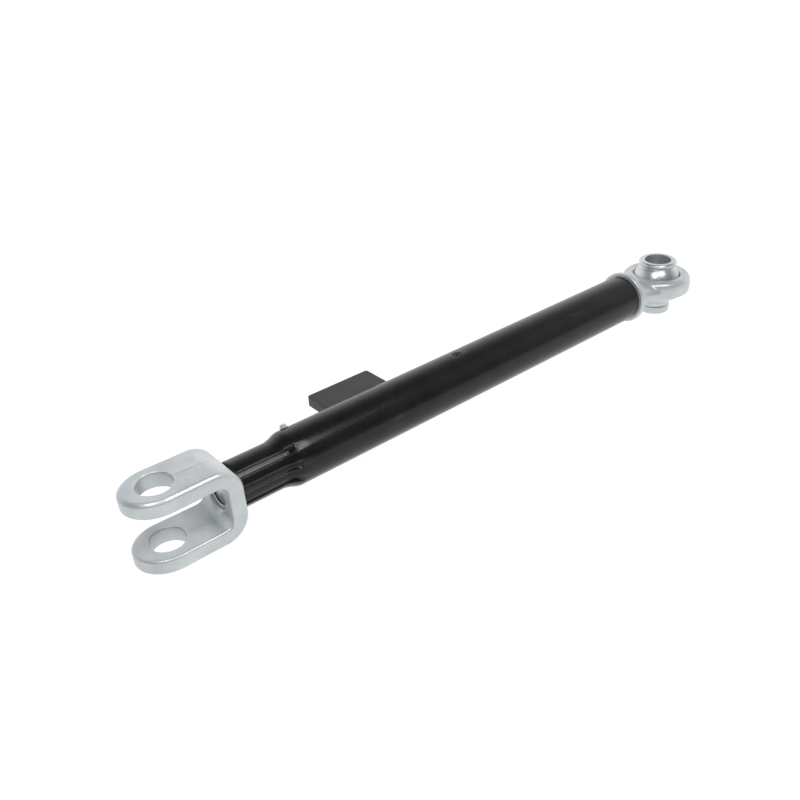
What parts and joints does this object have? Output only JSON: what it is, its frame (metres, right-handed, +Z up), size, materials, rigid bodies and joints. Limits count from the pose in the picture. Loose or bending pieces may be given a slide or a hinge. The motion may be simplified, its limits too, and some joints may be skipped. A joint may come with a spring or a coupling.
{
  "type": "tractor lift rod",
  "caption": "Screw-adjusted tractor lift rod: a plated fork on a threaded spindle, a black tube turned by a welded plate, and a swivelling eye with a captive bored ball.",
  "frame": {"origin": "centre of the bounding box in X and Y, on the surface that the part lies on", "axes": "+X along the rod from the fork to the ball eye, +Z up along both pin holes, +Y towards the turning plate"},
  "size_m": [0.6768, 0.102, 0.0668],
  "materials": {
    "zinc_plate": "satin bright zinc plate",
    "black_paint": "semi-gloss black paint",
    "matt_black_paint": "matt black paint",
    "bright_steel": "machined",
    "bronze": "machined bearing bronze",
    "black_rubber": "matt",
    "oiled_steel": "oil-blackened spring steel"
  },
  "bodies": {
    "eye": {"eye_housing": "zinc_plate", "swivel_nut": "bright_steel", "split_pin": "bright_steel", "thrust_washer_inner": "bright_steel", "thrust_washer_outer": "bronze"},
    "tube": {"tube": "black_paint", "neck_nut": "bronze", "neck_wiper": "black_rubber", "turning_plate": "matt_black_paint", "plate_weld_upper": "matt_black_paint", "plate_weld_lower": "matt_black_paint", "plug_screw": "black_paint", "grease_nipple": "zinc_plate", "nipple_spring": "bright_steel", "swivel_bush": "bronze", "end_seal": "black_rubber"},
    "fork": {"fork": "zinc_plate", "spindle": "bright_steel", "spindle_weld": "bright_steel", "spindle_stop_washer": "bright_steel", "spindle_circlip": "oiled_steel"},
    "race": {"ball_race": "oiled_steel"},
    "ball": {"ball": "zinc_plate"},
    "nipple_check": {"nipple_ball": "bright_steel"}
  },
  "joints": [
    {"name": "tube_turn", "type": "hinge", "parent": "eye", "child": "tube", "pos_m": [0.2364, -0.01405, 0.0334], "axis": [1, 0, 0], "range_deg": [0, 10800]},
    {"name": "fork_extend", "type": "slide", "parent": "eye", "child": "fork", "axis": [-1, 0, 0], "range_m": [0, 0.1501]},
    {"name": "race_turn", "type": "hinge", "parent": "eye", "child": "race", "pos_m": [0.3014, -0.01405, 0.0334], "axis": [0, 0, 1], "continuous": true},
    {"name": "ball_tilt", "type": "hinge", "parent": "race", "child": "ball", "pos_m": [0.3014, -0.01405, 0.0334], "axis": [0, 1, 0], "range_deg": [-15, 15]},
    {"name": "nipple_ball_press", "type": "slide", "parent": "tube", "child": "nipple_check", "axis": [0, -0.5299, -0.848], "range_m": [0, 0.0005], "stiffness_N_per_m": 300, "springref_m": -0.001}
  ],
  "couplings": [
    {"joint": "fork_extend", "follows": "tube_turn", "m_per_rad": 0.00079577}
  ]
}
